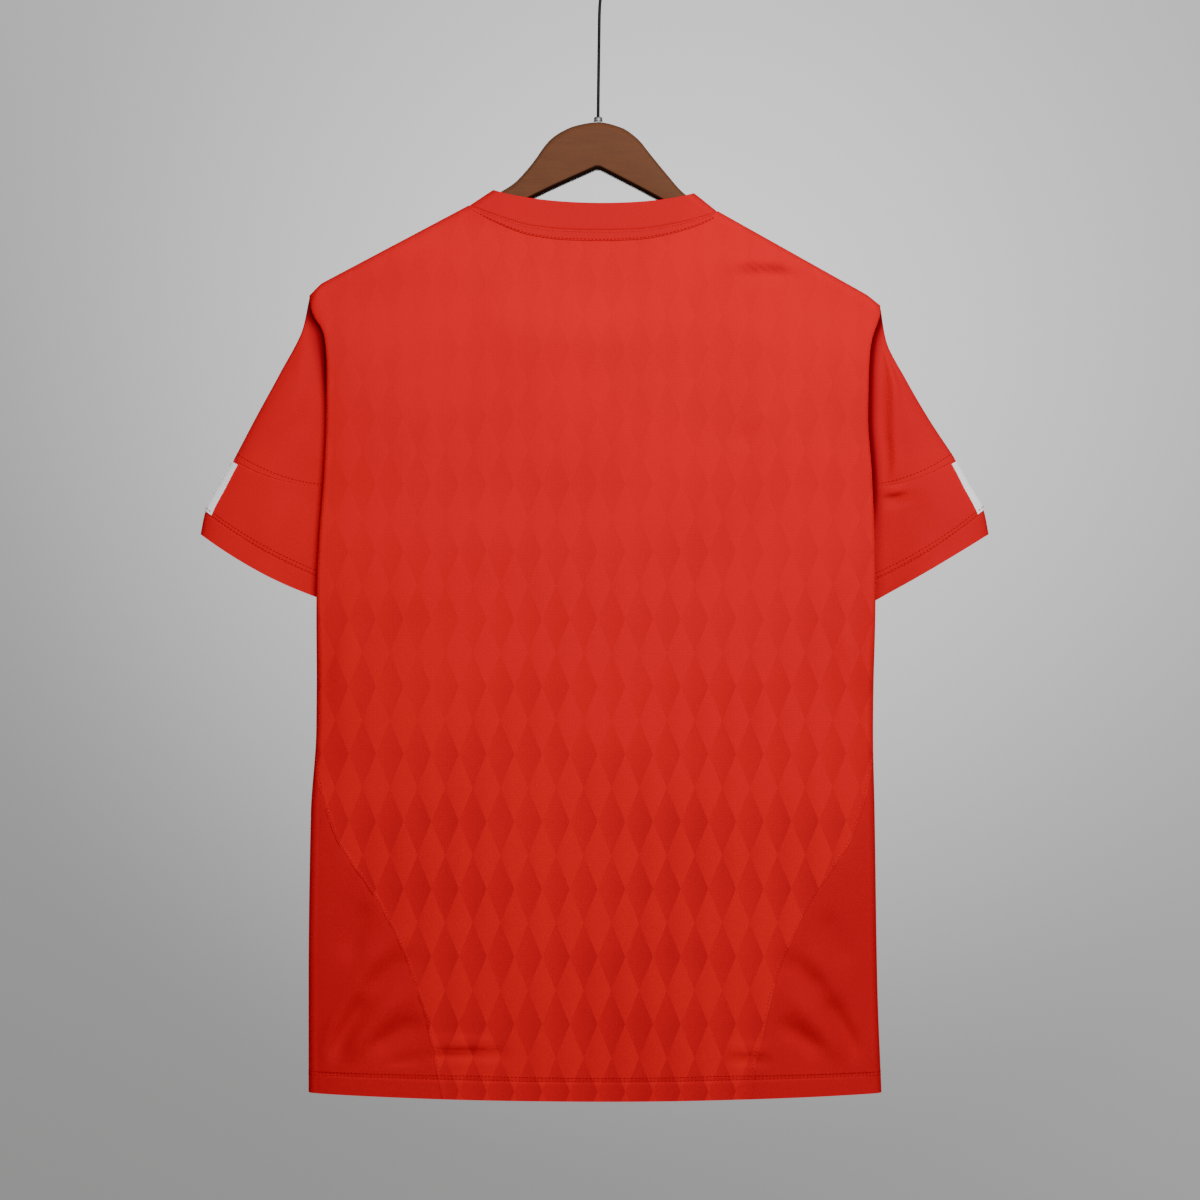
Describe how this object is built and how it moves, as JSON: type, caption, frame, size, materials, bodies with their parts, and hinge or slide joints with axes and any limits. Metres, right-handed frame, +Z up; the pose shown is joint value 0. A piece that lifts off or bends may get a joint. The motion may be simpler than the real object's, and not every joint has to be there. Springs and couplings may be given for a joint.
{
  "type": "football jersey on a hanger",
  "caption": "Short-sleeved football jersey with plain side inserts and white sleeve bands, hanging open and empty on a plain hanger with a wire hook",
  "frame": {"origin": "the inner crest of the hook, where a rod carries it", "axes": "+Z up, X across the shoulders, the back panel faces -Y and the front panel +Y"},
  "size_m": [0.6586, 0.0532, 0.9631],
  "materials": {
    "jersey_cloth": "red polyester knit with a tonal lozenge jacquard and a soft sheen",
    "plain_cloth": "plain red polyester knit with a soft sheen",
    "white_band": "smooth white woven band, stitched down",
    "hanger": "brown stained and lacquered",
    "ferrule": "small plain collar",
    "hook": "black painted wire"
  },
  "bodies": {
    "root": {"back_panel": "jersey_cloth", "front_panel": "jersey_cloth", "side_insert_left": "plain_cloth", "side_insert_right": "plain_cloth", "collar": "plain_cloth", "neck_tape": "plain_cloth", "sleeve_left": "plain_cloth", "sleeve_right": "plain_cloth", "lower_sleeve_left": "plain_cloth", "lower_sleeve_right": "plain_cloth", "cuff_left": "plain_cloth", "cuff_right": "plain_cloth", "sleeve_band_left": "white_band", "sleeve_band_right": "white_band", "hanger_body": "hanger", "hook_ferrule": "ferrule", "hanger_hook": "hook"}
  },
  "joints": []
}
